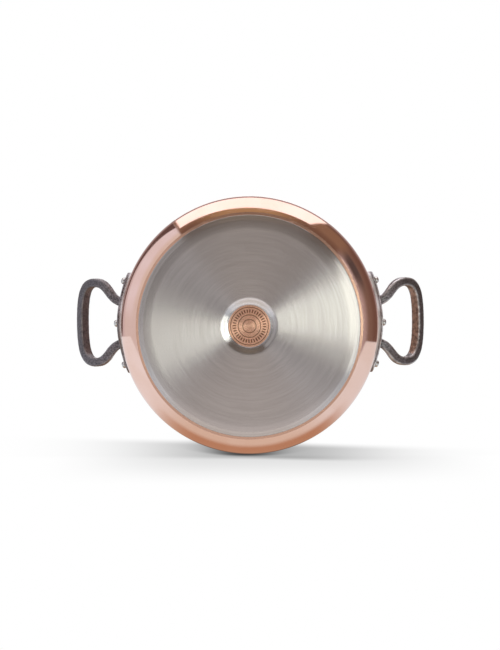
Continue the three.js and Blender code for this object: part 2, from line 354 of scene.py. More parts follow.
def copper_finish():
    material, tree, shader = new_material("polished_copper", Metallic=1.0, Anisotropic=0.9)
    where = place_on(tree)
    tree.links.new(across_the_lines(tree, where), shader["Tangent"])
    lines = use_group(tree, turned_lines, Vector=where, Lines_per_Metre=2600.0)
    marks = use_group(tree, handling, Vector=where, Smudge_Scale=34.0, Scratch_Scale=60.0)
    radius = lines["Radius"]
    under = calc(tree, "LESS_THAN", lines["Height"], UNDERSIDE_TOP)
    spot = calc(tree, "MULTIPLY", under, calc(tree, "LESS_THAN", radius, SPOT_RADIUS))
    # plain rings and a ring of ticks are engraved in the spot
    axes = axes_of(tree, where)
    turn = calc(tree, "DIVIDE", calc(tree, "ARCTAN2", axes[1], axes[0]), math.tau)
    step = calc(tree, "FRACT", calc(tree, "MULTIPLY", turn, TICKS))
    tick = calc(tree, "LESS_THAN", step, TICK_SHARE)
    engraved = calc(tree, "MULTIPLY", tick, calc(tree, "COMPARE", radius, TICK_RADIUS, TICK_HALF))
    for ring in RINGS:
        engraved = calc(tree, "MAXIMUM", engraved, calc(tree, "COMPARE", radius, ring, RING_HALF))
    engraved = calc(tree, "MULTIPLY", engraved, spot)
    # a narrow strip round the disc is duller than the wall, and its darker, warmer colour is painted
    # shade beside the disc
    crease = BODY_FLAT + BODY_STRIP
    within = ramp(tree, radius, crease + STRIP_SOFT, crease - STRIP_SOFT)
    strip = calc(tree, "MULTIPLY", under, within)
    colour = tint(tree, marks["Smudges"], COPPER_CLEAN, COPPER_TOUCHED)
    colour = tint(tree, strip, colour, COPPER_STRIP_SHADED)
    grain = mottle(tree, where, 1300.0, 2.0)
    etched = tint(tree, ramp(tree, grain, 0.35, 0.65), ETCHED_DARK, ETCHED_LIGHT)
    colour = tint(tree, spot, colour, etched)
    tree.links.new(tint(tree, engraved, colour, ENGRAVED), shader["Base Color"])
    rough = calc(tree, "MULTIPLY_ADD", marks["Smudges"], 0.05, POLISH_ROUGH)
    rough = calc(tree, "MULTIPLY_ADD", marks["Scratches"], 0.10, rough)
    rough = calc(tree, "MAXIMUM", rough, calc(tree, "MULTIPLY", strip, STRIP_ROUGH))
    rough = calc(tree, "MAXIMUM", rough, calc(tree, "MULTIPLY", spot, SPOT_ROUGH))
    tree.links.new(rough, shader["Roughness"])
    # depths in the spot are counted in the depth of the polish
    height = calc(tree, "MULTIPLY_ADD", marks["Scratches"], -0.5, lines["Lines"])
    cut = calc(tree, "MULTIPLY", grain, ETCH_GRAIN)
    cut = calc(tree, "MULTIPLY_ADD", lines["Lines"], ETCH_LINES, cut)
    height = calc(tree, "MULTIPLY_ADD", cut, spot, height)
    height = calc(tree, "MULTIPLY_ADD", engraved, -ENGRAVE_DEPTH, height)
    emboss(tree, shader, height, POLISH_DEPTH)
    return material


spin = spin_tree()
spun_sheet = spun_sheet_tree(spin)
turned_lines = turned_lines_group()
handling = handling_group()
copper_body = from_tree("copper_body_spun", spun_sheet, {
    "Outside Radius": BODY_RADIUS, "Sheet": BODY_SHEET, "Underside": BODY_UNDERSIDE,
    "Flat Radius": BODY_FLAT, "Strip Width": BODY_STRIP, "Strip Slope": STRIP_SLOPE,
    "Corner Slope": CORNER_SLOPE, "Corner Radius": BODY_CORNER, "Inner Corner": INNER_CORNER,
    "Rim Height": BODY_HEIGHT, "Rim Round": RIM_ROUND, "Support": SHEET_SUPPORT,
    "Segments": SPIN_STEPS, "Finish": copper_finish()})
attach(copper_body, "root")
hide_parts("copper_body")


# Steel lining
# A thin stainless sheet bonded to the inside of the copper before the pot is spun, so it follows
# the same floor, corner and wall. It has a fine satin finish with lines round the wall.

LINING_RADIUS = 0.1002
LINING_SHEET = 0.0003
LINING_UNDERSIDE = 0.0034
LINING_CORNER = 0.0127
LINING_FLAT = 0.0864
LINING_STRIP = 0.001
LINING_DARK = (0.74, 0.73, 0.715)
LINING_LIGHT = (0.84, 0.83, 0.815)
LINING_ROUGH = 0.24
LINING_DEPTH = 5e-7


def lining_finish():
    material, tree, shader = new_material("satin_lining_steel", Metallic=1.0, Anisotropic=0.6)
    where = place_on(tree)
    lines = use_group(tree, turned_lines, Vector=where, Lines_per_Metre=3200.0)
    marks = use_group(tree, handling, Vector=where, Smudge_Scale=24.0, Scratch_Scale=50.0)
    tree.links.new(across_the_lines(tree, where), shader["Tangent"])
    tree.links.new(tint(tree, lines["Lines"], LINING_DARK, LINING_LIGHT), shader["Base Color"])
    rough = calc(tree, "MULTIPLY_ADD", marks["Smudges"], 0.06, LINING_ROUGH)
    tree.links.new(calc(tree, "MULTIPLY_ADD", marks["Scratches"], 0.03, rough), shader["Roughness"])
    height = calc(tree, "MULTIPLY_ADD", marks["Scratches"], -0.12, lines["Lines"])
    emboss(tree, shader, height, LINING_DEPTH)
    return material


steel_lining = from_tree("steel_lining_spun", spun_sheet, {
    "Outside Radius": LINING_RADIUS, "Sheet": LINING_SHEET, "Underside": LINING_UNDERSIDE,
    "Flat Radius": LINING_FLAT, "Strip Width": LINING_STRIP, "Strip Slope": 0.0, "Corner Slope": 0.0,
    "Corner Radius": LINING_CORNER, "Inner Corner": LINING_CORNER - LINING_SHEET,
    "Rim Height": BODY_HEIGHT, "Rim Round": LINING_SHEET / 3, "Support": SHEET_SUPPORT,
    "Segments": SPIN_STEPS, "Finish": lining_finish()})
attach(steel_lining, "root")
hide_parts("steel_lining")


# Base disc
# A magnetic steel plate pressed and bonded to the underside, faced on a lathe. Its rim tapers in
# two bands, and a dished hole in its middle leaves the copper showing.

DISC_PLATE = 0.0015
DISC_EDGE = 0.0872
DISC_CREASE = 0.0834
DISC_FLAT = 0.0760
DISC_TAPER_RISE = 0.00034
DISC_EDGE_RISE = 0.0010
DISH_RADIUS = 0.0232
WINDOW_RADIUS = 0.0165
WINDOW_LAND = 0.0005
EDGE_ROUND = 0.0002
BACK_ROUND = 0.00005
DISH_STEPS = 16
FLAT_STEPS = 24
TAPER_STEPS = 12
BAND_STEPS = (0.00008, 0.0004, 0.0015, 0.0028)


def turned_mesh(name, profile, segments):
    angles = np.linspace(0.0, math.tau, segments, endpoint=False)
    count = len(profile)
    points = [(r * math.cos(a), r * math.sin(a), z) for a in angles for r, z in profile]
    faces = []
    for i in range(segments):
        here, there = i * count, (i + 1) % segments * count
        for j in range(count):
            k = (j + 1) % count
            faces.append((here + j, there + j, there + k, here + k))
    mesh = bpy.data.meshes.new(name)
    mesh.from_pydata(points, [], faces)
    mesh.shade_smooth()
    return mesh


def disc_profile():
    dish = []
    for share in np.linspace(0.0, 1.0, DISH_STEPS + 1):
        wave = (1 + math.cos(math.pi * share)) / 2
        dish.append((WINDOW_RADIUS + (DISH_RADIUS - WINDOW_RADIUS) * share,
                     (DISC_PLATE - WINDOW_LAND) * wave))
    flat = [(r, 0.0) for r in np.linspace(DISH_RADIUS + 0.0006, DISC_FLAT - 0.0008, FLAT_STEPS)]
    taper = [(DISC_FLAT + (DISC_CREASE - DISC_FLAT) * share, DISC_TAPER_RISE * share ** 2)
             for share in np.linspace(0.0, 1.0, TAPER_STEPS + 1)]
    slope = (DISC_EDGE_RISE - DISC_TAPER_RISE) / (DISC_EDGE - DISC_CREASE)
    band = [(DISC_CREASE + d, DISC_TAPER_RISE + slope * d) for d in BAND_STEPS]
    edge = [
        (DISC_EDGE - EDGE_ROUND, DISC_EDGE_RISE - slope * EDGE_ROUND),
        (DISC_EDGE - EDGE_ROUND * 0.35, DISC_EDGE_RISE + EDGE_ROUND * 0.1),
        (DISC_EDGE, DISC_EDGE_RISE + EDGE_ROUND * 0.6),
        (DISC_EDGE, DISC_PLATE - BACK_ROUND)]
    back = [(DISC_EDGE - BACK_ROUND, DISC_PLATE), (WINDOW_RADIUS + BACK_ROUND, DISC_PLATE)]
    return dish + flat + taper + band + edge + back


def outwards(tree, where):
    return vectors(tree, "NORMALIZE", vectors(tree, "MULTIPLY", where, (1.0, 1.0, 0.0)))


DISC_CROWN = 0.08
TOOL_DEPTH = 8e-7
PRESS_DEPTH = 40.0
ARC_TURNS = 2.6
ARC_PITCH = 1000.0
ARC_DARK = (0.532, 0.492, 0.482)
ARC_LIGHT = (0.58, 0.54, 0.53)
LINE_DARK = (0.45, 0.415, 0.405)
RING_DARK = (0.42, 0.385, 0.375)
TAPER_PAINTED_SHADE = (0.44, 0.40, 0.39)
PASS_DARK = (0.30, 0.27, 0.265)
DISH_PAINTED_LIGHT = (0.63, 0.605, 0.605)


def disc_finish():
    material, tree, shader = new_material("turned_disc_steel", Metallic=1.0, Anisotropic=1.0)
    where = place_on(tree)
    fine = use_group(tree, turned_lines, Vector=where, Lines_per_Metre=2400.0)
    broad = use_group(tree, turned_lines, Vector=where, Lines_per_Metre=420.0)
    radius = fine["Radius"]
    lay = outwards(tree, where)
    tree.links.new(lay, shader["Tangent"])
    # the tool's lines fade in and out along their length
    turn = axes_of(tree, lay)
    stretched = put(tree, "ShaderNodeCombineXYZ", {
        0: calc(tree, "MULTIPLY", turn[0], ARC_TURNS), 1: calc(tree, "MULTIPLY", turn[1], ARC_TURNS),
        2: calc(tree, "MULTIPLY", radius, ARC_PITCH)}).outputs[0]
    arcs = mottle(tree, stretched, 1.0, 2.0, Roughness=0.6)
    colour = tint(tree, ramp(tree, arcs, 0.3, 0.7), ARC_DARK, ARC_LIGHT)
    colour = tint(tree, calc(tree, "MULTIPLY", fine["Lines"], 0.3), colour, LINE_DARK)
    colour = tint(tree, ramp(tree, broad["Lines"], 0.35, 0.65, 0.0, 0.15), colour, RING_DARK)
    # the taper is a little darker: painted shade that dims its reflection
    taper = calc(tree, "MULTIPLY", ramp(tree, radius, DISC_FLAT + 0.0002, DISC_FLAT + 0.0025),
                 ramp(tree, radius, DISC_CREASE + 0.0002, DISC_CREASE - 0.0002))
    colour = tint(tree, calc(tree, "MULTIPLY", taper, 0.5), colour, TAPER_PAINTED_SHADE)
    passes = mottle(tree, vectors(tree, "MULTIPLY", stretched, (0.6, 0.6, 0.11)), 1.0, 1.0)
    colour = tint(tree, ramp(tree, passes, 0.35, 0.65, 0.0, 0.055), colour, PASS_DARK)
    # the dish is pressed, so it is smoother and its sheet a little uneven; its lighter colour is a
    # painted highlight
    dish = ramp(tree, radius, DISH_RADIUS + 0.0002, DISH_RADIUS - 0.0018)
    colour = tint(tree, calc(tree, "MULTIPLY", dish, 0.7), colour, DISH_PAINTED_LIGHT)
    tree.links.new(colour, shader["Base Color"])
    rough = ramp(tree, radius, DISC_FLAT - 0.0005, DISC_FLAT + 0.002, 0.21, 0.195)
    rough = calc(tree, "MULTIPLY_ADD", dish, -0.065, rough)
    tree.links.new(calc(tree, "MULTIPLY_ADD", broad["Lines"], 0.02, rough), shader["Roughness"])
    height = calc(tree, "MULTIPLY_ADD", broad["Lines"], 1.5, fine["Lines"])
    press = calc(tree, "MULTIPLY", mottle(tree, where, 300.0, 2.0), dish)
    height = calc(tree, "MULTIPLY_ADD", press, PRESS_DEPTH, height)
    # the face is very slightly crowned
    crown = calc(tree, "MULTIPLY", calc(tree, "POWER", radius, 2.0), DISC_CROWN / TOOL_DEPTH)
    emboss(tree, shader, calc(tree, "SUBTRACT", height, crown), TOOL_DEPTH)
    return material


disc_mesh = turned_mesh("base_disc_turned", disc_profile(), SPIN_STEPS)
base_disc = place_mesh("base_disc_turned", disc_mesh)
base_disc.data.materials.append(disc_finish())
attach(base_disc, "root")
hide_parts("base_disc")


# Handles
# Two castings with a fine sand skin, each a riveted plate and a loop in one. The loop is a square
# bar with rounded edges that leaves the plate almost level and bends up to the grip.

PLATE_INSIDE = 0.1023
PLATE_OUTSIDE = 0.1075
EAR_HEIGHT = 0.075
EAR_ACROSS = 0.034
EAR_RADIUS = 0.007
TONGUE_DROP = 0.010
TONGUE_RADIUS = 0.008
PLATE_CROWN = 0.009
BAR_WIDTH = 0.0072
ROOT_HEIGHT = 0.0064
GRIP_HEIGHT = 0.0092
BAR_ROUND = 0.0019
BAR_START = -0.0038
ROOT_RISE = 0.002
ROOT_ACROSS = 0.016
ROOT_SINK = 0.009
LOOP_ACROSS = 0.0325
LOOP_REACH = 0.036
SHOULDER_REACH = 0.020
ROOT_TANGENT = 0.018
SHOULDER_TANGENT_IN = 0.015
SHOULDER_TANGENT_OUT = 0.011
GRIP_TANGENT = 0.0215
ROOT_SLOPE = math.radians(9)
GRIP_SLOPE = math.radians(53)
LINE_STEPS = 60
ROUND_STEPS = 6
EAR_STEPS = 24
PLATE_COLUMNS = 121
PLATE_ROWS = 9
CAST_GRID = 0.0004
SOFT_PASSES = 9
SAND_DEPTH = 0.00014
SAND_FINE = 620.0
SAND_COARSE = 260.0
WEAR_SPREAD = 3
WEAR_HIGHLIGHT_FROM = 50.0
WEAR_HIGHLIGHT_FULL = 120.0


def bezier(first, second, third, fourth):
    share = np.linspace(0.0, 1.0, LINE_STEPS)[:, None]
    back = 1.0 - share
    return (back ** 3 * np.array(first) + 3 * back ** 2 * share * np.array(second)
            + 3 * back * share ** 2 * np.array(third) + share ** 3 * np.array(fourth))


def bar_line():
    leg = bezier((ROOT_ACROSS, -ROOT_SINK), (ROOT_ACROSS, ROOT_TANGENT - ROOT_SINK),
                 (LOOP_ACROSS, SHOULDER_REACH - SHOULDER_TANGENT_IN), (LOOP_ACROSS, SHOULDER_REACH))
    grip = bezier((LOOP_ACROSS, SHOULDER_REACH), (LOOP_ACROSS, SHOULDER_REACH + SHOULDER_TANGENT_OUT),
                  (GRIP_TANGENT, LOOP_REACH), (0.0, LOOP_REACH))
    half = np.vstack([leg[leg[:, 1] > BAR_START], grip[1:]])
    other = half[::-1][1:] * np.array((-1.0, 1.0))
    return np.vstack([half, other])


def bar_section():
    section = []
    across, up = BAR_WIDTH / 2 - BAR_ROUND, GRIP_HEIGHT / 2 - BAR_ROUND
    for quarter, (side, level) in enumerate(((1, 1), (-1, 1), (-1, -1), (1, -1))):
        for i in range(ROUND_STEPS + 1):
            angle = (quarter + i / ROUND_STEPS) * math.pi / 2
            section.append((side * across + BAR_ROUND * math.cos(angle),
                            level * up + BAR_ROUND * math.sin(angle)))
    return section


def bar_mesh():
    line = bar_line()
    tangent = np.gradient(line, axis=0)
    tangent /= np.linalg.norm(tangent, axis=1)[:, None]
    section = bar_section()
    bend = LOOP_REACH / (GRIP_SLOPE - ROOT_SLOPE)
    points = []
    for (u, v), (tu, tv) in zip(line, tangent):
        for across, up in section:
            flat_u, flat_v = u + tv * across, v - tu * across
            slope = ROOT_SLOPE + flat_v / bend
            reach = min(max(flat_v / LOOP_REACH, 0.0), 1.0)
            lift = bend - up * (ROOT_HEIGHT + (GRIP_HEIGHT - ROOT_HEIGHT) * reach) / GRIP_HEIGHT
            points.append((
                PLATE_OUTSIDE + lift * math.sin(slope) - bend * math.sin(ROOT_SLOPE), -flat_u,
                EAR_HEIGHT + ROOT_RISE - lift * math.cos(slope) + bend * math.cos(ROOT_SLOPE)))
    count = len(section)
    faces = []
    for i in range(len(line) - 1):
        for j in range(count):
            k = (j + 1) % count
            faces.append((i * count + j, i * count + k, (i + 1) * count + k, (i + 1) * count + j))
    faces.append(tuple(range(count))[::-1])
    faces.append(tuple(range((len(line) - 1) * count, len(line) * count)))
    return points, faces


def plate_mesh():
    bottom = -TONGUE_DROP - TONGUE_RADIUS
    waist = EAR_ACROSS - EAR_RADIUS
    quarter = np.linspace(-math.pi / 2, 0.0, EAR_STEPS)
    ear_out, ear_up = EAR_ACROSS + EAR_RADIUS * np.cos(quarter), EAR_RADIUS * np.sin(quarter)
    lower = np.vstack([
        bezier((0.0, bottom), (TONGUE_RADIUS * 2, bottom),
               (waist / 2, -EAR_RADIUS), (EAR_ACROSS, -EAR_RADIUS)),
        np.column_stack([ear_out, ear_up])])
    upper = np.vstack([
        bezier((0.0, PLATE_CROWN), (ROOT_ACROSS, PLATE_CROWN),
               (waist, EAR_RADIUS), (EAR_ACROSS, EAR_RADIUS)),
        np.column_stack([ear_out, -ear_up])])
    end = EAR_ACROSS + EAR_RADIUS
    across = end * np.sin(np.linspace(-math.pi / 2, math.pi / 2, PLATE_COLUMNS))
    low = np.interp(abs(across), lower[:, 0], lower[:, 1])
    high = np.interp(abs(across), upper[:, 0], upper[:, 1])
    rows, columns = PLATE_ROWS, PLATE_COLUMNS
    points, faces = [], []
    for radius in (PLATE_OUTSIDE, PLATE_INSIDE):
        for y, bottom_z, top_z in zip(across, low, high):
            x = math.sqrt(radius ** 2 - y ** 2)
            for k in range(rows):
                points.append((x, y, EAR_HEIGHT + bottom_z + (top_z - bottom_z) * k / (rows - 1)))
    far = columns * rows
    for i in range(columns - 1):
        for k in range(rows - 1):
            a, b, c, d = i * rows + k, (i + 1) * rows + k, (i + 1) * rows + k + 1, i * rows + k + 1
            faces.append((a, b, c, d))
            faces.append((far + d, far + c, far + b, far + a))
        a, b = i * rows, (i + 1) * rows
        faces.append((b, a, far + a, far + b))
        a, b = a + rows - 1, b + rows - 1
        faces.append((a, b, far + b, far + a))
    for k in range(rows - 1):
        faces.append((k, k + 1, far + k + 1, far + k))
        a = (columns - 1) * rows + k
        faces.append((a + 1, a, far + a, far + a + 1))
    return points, faces


def cast_mesh(name):
    points, faces = bar_mesh()
    plate_points, plate_faces = plate_mesh()
    plate_faces = [tuple(len(points) + i for i in face) for face in plate_faces]
    rough = bpy.data.meshes.new(name + "_rough")
    rough.from_pydata(points + plate_points, [], faces + plate_faces)
    holder = place_mesh(name + "_making", rough)
    weld = holder.modifiers.new("weld", "WELD")
    weld.merge_threshold = WELD
    remesh = holder.modifiers.new("skin", "REMESH")
    remesh.mode = "VOXEL"
    remesh.voxel_size = CAST_GRID
    remesh.use_smooth_shade = True
    soften = holder.modifiers.new("soften", "SMOOTH")
    soften.factor = 0.5
    soften.iterations = SOFT_PASSES
    mesh = made_mesh(name, holder)

    def read(items, what, width, kind=float):
        values = np.empty(len(items) * width, dtype=kind)
        items.foreach_get(what, values)
        return values.reshape(-1, width)

    places, normals = read(mesh.vertices, "co", 3), read(mesh.vertices, "normal", 3)
    links = read(mesh.edges, "vertices", 2, int)
    counts = np.bincount(links.ravel(), minlength=len(places))

    def beside(values):
        total = np.zeros_like(values)
        np.add.at(total, links[:, 0], values[links[:, 1]])
        np.add.at(total, links[:, 1], values[links[:, 0]])
        return total / counts.reshape(-1, *[1] * (values.ndim - 1))

    # edges wear where the skin bends most, and the sand leaves it pitted; the finish also paints a
    # highlight on these edges
    bend = ((places - beside(places)) * normals).sum(axis=1) / CAST_GRID ** 2
    for _ in range(WEAR_SPREAD):
        bend = beside(bend)
    worn_and_highlight = mesh.attributes.new("worn_and_highlight", "FLOAT", "POINT")
    worn_and_highlight.data.foreach_set("value", np.clip((bend - WEAR_HIGHLIGHT_FROM) / (WEAR_HIGHLIGHT_FULL - WEAR_HIGHLIGHT_FROM), 0.0, 1.0))
    sand = np.array([
        noise.noise(Vector(p) * SAND_FINE) + 0.8 * noise.noise(Vector(p) * SAND_COARSE)
        for p in places])
    places -= normals * (SAND_DEPTH * np.clip(0.5 + 0.6 * sand, 0.0, 1.0))[:, None]
    mesh.vertices.foreach_set("co", places.ravel())
    mesh.update()
    return mesh


GRIP_FROM = 0.118
GRIP_FULL = 0.134
CAST_DARK = (0.04, 0.032, 0.034)
CAST_LIGHT = (0.25, 0.212, 0.235)
CAST_SMUDGE = (0.13, 0.10, 0.09)
GRIP_LEFT_PAINTED_COOL = (0.042, 0.036, 0.046)
GRIP_RIGHT_PAINTED_WARM = (0.05, 0.034, 0.027)
INNER_PAINTED_REFLECTION = (0.52, 0.35, 0.27)
BARE_METAL_AND_HIGHLIGHT = (0.66, 0.635, 0.64)


def casting_finish():
    material, tree, shader = new_material("dark_casting", Coat_Weight=1.0, Coat_Roughness=0.24)
    where = place_on(tree)
    axes = axes_of(tree, where)
    marks = use_group(tree, handling, Vector=where, Smudge_Scale=60.0, Scratch_Scale=70.0)
    radius = use_group(tree, turned_lines, Vector=where, Lines_per_Metre=1000.0)["Radius"]
    skin = mottle(tree, where, 700.0, 4.0, Roughness=0.65)
    lumps = mottle(tree, where, 300.0, 2.0)

    def by_side(left, right):
        return ramp(tree, axes[0], -0.05, 0.05, left, right)

    colour = tint(tree, ramp(tree, skin, 0.38, 0.62), CAST_DARK, CAST_LIGHT)
    colour = tint(tree, calc(tree, "MULTIPLY", marks["Smudges"], 0.5), colour, CAST_SMUDGE)
    # the grip is darker towards its middle, and tinted cool on the left handle and warm on the right
    # as painted light
    grip = ramp(tree, radius, GRIP_FROM, GRIP_FULL)
    grip_painted_tint = tint(tree, by_side(0.0, 1.0), GRIP_LEFT_PAINTED_COOL, GRIP_RIGHT_PAINTED_WARM)
    darkened = calc(tree, "MULTIPLY", grip, ramp(tree, axes[1], 0.018, 0.030, 0.62, 0.36))
    colour = tint(tree, darkened, colour, grip_painted_tint)
    # its inner side gets a warm brown, a painted reflection of the copper and of the light at the
    # right, the right one's more
    lie = put(tree, "ShaderNodeNewGeometry").outputs["Normal"]
    out = put(tree, "ShaderNodeVectorMath", {
        0: lie, 1: outwards(tree, where)}, operation="DOT_PRODUCT")
    inner = calc(tree, "MULTIPLY_ADD", out.outputs["Value"], -0.6,
                 calc(tree, "MULTIPLY", axes_of(tree, lie)[2], -0.8))
    inner_reflection = calc(tree, "MULTIPLY", ramp(tree, inner, 0.6, 0.9), grip)
    inner_reflection = calc(tree, "MULTIPLY", inner_reflection, by_side(0.1, 0.9))
    inner_reflection = calc(tree, "MULTIPLY", inner_reflection, ramp(tree, lumps, 0.3, 0.62, 0.35, 1.15))
    colour = tint(tree, inner_reflection, colour, INNER_PAINTED_REFLECTION)
    # the plate's edge is ground bright where it meets the body, and the loop's edges are worn and
    # painted with a highlight, strongest on the right handle
    ground = calc(tree, "MULTIPLY", ramp(tree, radius, 0.1062, 0.1046), 0.95)
    edges = put(tree, "ShaderNodeAttribute", attribute_name="worn_and_highlight").outputs["Fac"]
    worn_and_highlight = calc(tree, "MULTIPLY", edges, ramp(tree, lumps, 0.3, 0.6, 0.35, 1.0))
    worn_and_highlight = calc(tree, "MULTIPLY", worn_and_highlight, by_side(0.2, 1.2))
    bare_and_highlight = calc(tree, "MAXIMUM", ground, worn_and_highlight)
    tree.links.new(tint(tree, bare_and_highlight, colour, BARE_METAL_AND_HIGHLIGHT), shader["Base Color"])
    tree.links.new(calc(tree, "MULTIPLY_ADD", worn_and_highlight, 0.5, 0.5), shader["Metallic"])
    rough = calc(tree, "MULTIPLY_ADD", skin, 0.16, 0.34)
    tree.links.new(calc(tree, "MULTIPLY_ADD", worn_and_highlight, -0.18, rough), shader["Roughness"])
    emboss(tree, shader, calc(tree, "MULTIPLY_ADD", lumps, 0.8, skin), 0.0005, 0.9)
    return material


dark_casting = casting_finish()
casting = cast_mesh("handle_casting")
for side, turn in (("right", 0.0), ("left", math.pi)):
    mesh = casting.copy()
    mesh.transform(Matrix.Rotation(turn, 4, "Z"))
    mesh.materials.append(dark_casting)
    handle = place_mesh("handle_" + side + "_cast", mesh)
    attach(handle, "root")
    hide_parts("handle_" + side)


# Rivets
# Six plain steel rivets, three to a handle, driven through wall and plate. They have a broad flat
# head on the lining and a small rounded head on the plate.

INNER_HEAD = 0.0045
INNER_SEAT = 0.09956
INNER_THICK = 0.001
SHANK = 0.0022
OUTER_HEAD = 0.0028
OUTER_SEAT = 0.1076
OUTER_THICK = 0.0026
HEAD_EDGE = 0.0003
HEAD_DOME = 0.0021
HEAD_STEPS = 8
RIVET_STEPS = 32
RIVETS_EACH = 3
EAR_ANGLE = math.asin(EAR_ACROSS / PLATE_OUTSIDE)
RIVET_BRIGHT = (0.70, 0.685, 0.665)
RIVET_DULL = (0.58, 0.56, 0.54)


def rivet_tree():
    tree, given, result = new_tree(
        "wall_rivets", "GeometryNodeTree",
        [("Ear Angle", "NodeSocketFloat", EAR_ANGLE), ("Ear Height", "NodeSocketFloat", EAR_HEIGHT),
         ("Tongue Drop", "NodeSocketFloat", TONGUE_DROP), ("Segments", "NodeSocketInt", RIVET_STEPS),
         ("Finish", "NodeSocketMaterial", None)],
        [("Mesh", "NodeSocketGeometry")])
    points = [
        (0.0, INNER_SEAT - INNER_THICK), (INNER_HEAD, INNER_SEAT - INNER_THICK),
        (INNER_HEAD, INNER_SEAT), (SHANK, INNER_SEAT), (SHANK, OUTER_SEAT), (OUTER_HEAD, OUTER_SEAT),
        (OUTER_HEAD, OUTER_SEAT + OUTER_THICK), (0.0, OUTER_SEAT + OUTER_THICK)]
    rounds = {1: INNER_THICK * 0.7, 2: INNER_THICK * 0.2, 5: HEAD_EDGE, 6: HEAD_DOME}
    spun = put(tree, "GeometryNodeGroup", {
        "Profile": profile_curve(tree, points, rounds, HEAD_STEPS), "Segments": given["Segments"]},
        node_tree=spin)
    index = put(tree, "GeometryNodeInputIndex").outputs[0]
    side = calc(tree, "FLOOR", calc(tree, "DIVIDE", index, RIVETS_EACH))
    step = calc(tree, "SUBTRACT", calc(tree, "MODULO", index, RIVETS_EACH), 1.0)
    angle = calc(tree, "MULTIPLY", step, given["Ear Angle"])
    angle = calc(tree, "MULTIPLY_ADD", side, math.pi, angle)
    middle = calc(tree, "SUBTRACT", 1.0, calc(tree, "ABSOLUTE", step))
    height = calc(tree, "SUBTRACT", given["Ear Height"],
                  calc(tree, "MULTIPLY", middle, given["Tongue Drop"]))
    place = put(tree, "ShaderNodeCombineXYZ", {2: height})
    spots = put(tree, "GeometryNodePoints", {
        "Count": 2 * RIVETS_EACH, "Position": place.outputs[0]})
    turn = put(tree, "ShaderNodeCombineXYZ", {1: math.pi / 2, 2: angle})
    copies = put(tree, "GeometryNodeInstanceOnPoints", {
        "Points": spots.outputs[0], "Instance": spun.outputs[0], "Rotation": turn.outputs[0]})
    end_tree(tree, copies.outputs[0], given["Finish"], result["Mesh"])
    return tree


def rivet_finish():
    material, tree, shader = new_material("rivet_steel", Metallic=1.0)
    where = place_on(tree)
    marks = use_group(tree, handling, Vector=where, Smudge_Scale=160.0, Scratch_Scale=180.0)
    tree.links.new(tint(tree, marks["Smudges"], RIVET_BRIGHT, RIVET_DULL), shader["Base Color"])
    tree.links.new(calc(tree, "MULTIPLY_ADD", marks["Smudges"], 0.12, 0.26), shader["Roughness"])
    emboss(tree, shader, mottle(tree, where, 1500.0, 3.0), 3e-5, 0.4)
    return material


rivets = from_tree("rivets_driven", rivet_tree(), {
    "Ear Angle": EAR_ANGLE, "Ear Height": EAR_HEIGHT, "Tongue Drop": TONGUE_DROP,
    "Segments": RIVET_STEPS, "Finish": rivet_finish()})
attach(rivets, "root")
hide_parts(*[f"rivet_{side}_{i}" for side in ("left", "right") for i in (1, 2, 3)])


# Floor and backdrop
# A plain white floor under the upright pot, and far behind it a white backdrop for the camera's view,
# where the pot lies on its side. Both show from one side only, glow white and carry nothing but the
# pot's
# shade, painted on: ambient occlusion on the floor, a painted shadow on the backdrop.

STAND_FLOOR = -0.0004
FLOOR_HALF = 4.0
BACKDROP = 3.0
BACKDROP_HALF = 0.8
BACKDROP_LOW = 0.52
BACKDROP_HIGH = 0.341
LYING_FLOOR = 0.1022
LYING_RIM = 0.1108
EYE = (0.0149, -0.0812, -1.898)
SHADE_REACH = 0.4
FRONT_SHADE = 0.118
FRONT_BAND = 0.235
REAR_BAND = 0.315
CONTACT_SHADE = 0.42


def sheet_finish(name, shade):
    material = bpy.data.materials.new(name)
    material.use_nodes = True
    tree = material.node_tree
    tree.nodes.clear()
    spot = axes_of(tree, place_on(tree))
    lit = calc(tree, "POWER", calc(tree, "SUBTRACT", 1.0, shade(tree, spot)), 2.2)
    white = put(tree, "ShaderNodeEmission", {"Color": lit, "Strength": 1.0})
    clear = put(tree, "ShaderNodeBsdfTransparent")
    back = put(tree, "ShaderNodeNewGeometry").outputs["Backfacing"]
    shown = put(tree, "ShaderNodeMixShader", {0: back, 1: white.outputs[0], 2: clear.outputs[0]})
    out = put(tree, "ShaderNodeOutputMaterial")
    tree.links.new(shown.outputs[0], out.inputs["Surface"])
    return material


def shade_under(tree, spot):
    open_sky = put(tree, "ShaderNodeAmbientOcclusion", {"Distance": SHADE_REACH}, samples=16)
    lit = calc(tree, "MULTIPLY", calc(tree, "POWER", open_sky.outputs["AO"], 0.273), 1.022)
    return calc(tree, "SUBTRACT", 1.0, calc(tree, "MINIMUM", lit, 1.0))


def bell(tree, value, centre, width):
    off = calc(tree, "DIVIDE", calc(tree, "SUBTRACT", value, centre), width)
    return calc(tree, "EXPONENT", calc(tree, "MULTIPLY", calc(tree, "POWER", off, 2.0), -1.0))


